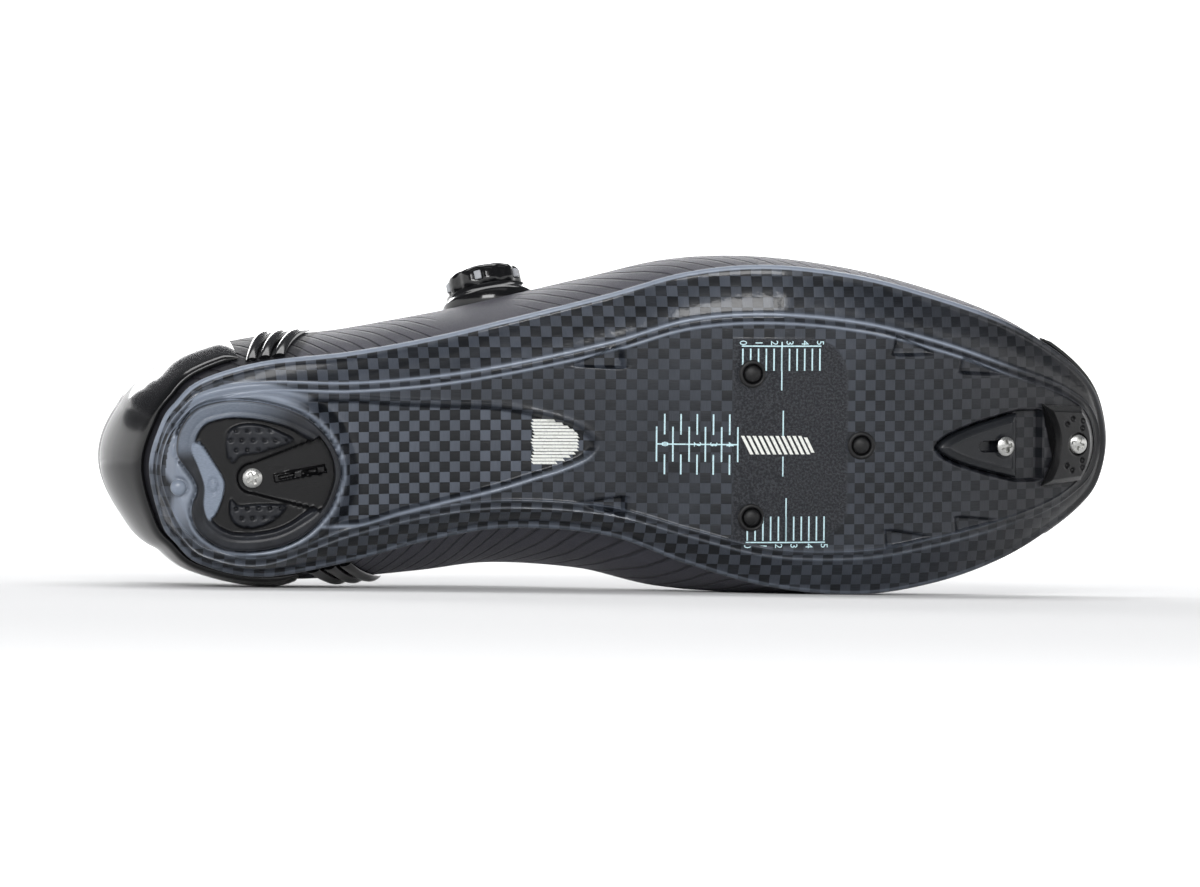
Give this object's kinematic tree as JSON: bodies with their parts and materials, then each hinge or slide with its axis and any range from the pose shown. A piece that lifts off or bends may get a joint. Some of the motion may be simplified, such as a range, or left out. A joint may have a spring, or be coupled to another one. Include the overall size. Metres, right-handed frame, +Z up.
{
  "type": "road cycling shoe",
  "caption": "Right road cycling shoe lying on its inner side, with a stiff carbon sole, vents, heel pad, toe bumper and a dial closure.",
  "frame": {"origin": "centre of the bounding box's base: the shoe lies on its inner side on z = 0", "axes": "+X from heel to toe, +Y from the sole towards the instep, +Z up, which is the shoe's outer side; the sole faces -Y"},
  "size_m": [0.2896, 0.112, 0.0961],
  "materials": {
    "carbon": "clear-coated woven carbon, dark slate checks",
    "upper": "grey microfibre with diagonal grooves",
    "lining": "dark padded mesh",
    "gloss_shell": "glossy black moulded plastic",
    "rubber_edge": "black rubber",
    "urethane": "satin dark grey urethane",
    "fittings": "matte black plastic",
    "screws": "bright steel",
    "cord": "dark coated closure cord"
  },
  "bodies": {
    "shoe": {"sole_plate": "carbon", "upper": "upper", "tongue": "lining", "insole": "lining", "heel_cup": "gloss_shell", "heel_rib_inner_1": "gloss_shell", "heel_rib_inner_2": "gloss_shell", "heel_rib_inner_3": "gloss_shell", "heel_rib_outer_1": "gloss_shell", "heel_rib_outer_2": "gloss_shell", "heel_rib_outer_3": "gloss_shell", "toe_guard": "rubber_edge", "heel_pad": "urethane", "heel_pad_screw": "screws", "heel_rivet": "urethane", "vent_slider_screw": "screws", "toe_bumper": "rubber_edge", "toe_bumper_screw": "screws", "cleat_insert_1": "fittings", "cleat_insert_2": "fittings", "cleat_insert_3": "fittings", "dial_base": "gloss_shell", "dial_knob": "gloss_shell", "cord_guide_1": "fittings", "cord_guide_2": "fittings", "cord_guide_3": "fittings", "cord_guide_4": "fittings", "cord_guide_5": "fittings", "closure_cord": "cord"},
    "vent_slider": {"vent_slider": "urethane"}
  },
  "joints": [
    {"name": "vent_slide", "type": "slide", "parent": "shoe", "child": "vent_slider", "axis": [0.9605, 0.2749, 0.0429], "range_m": [0, 0.0045]}
  ]
}
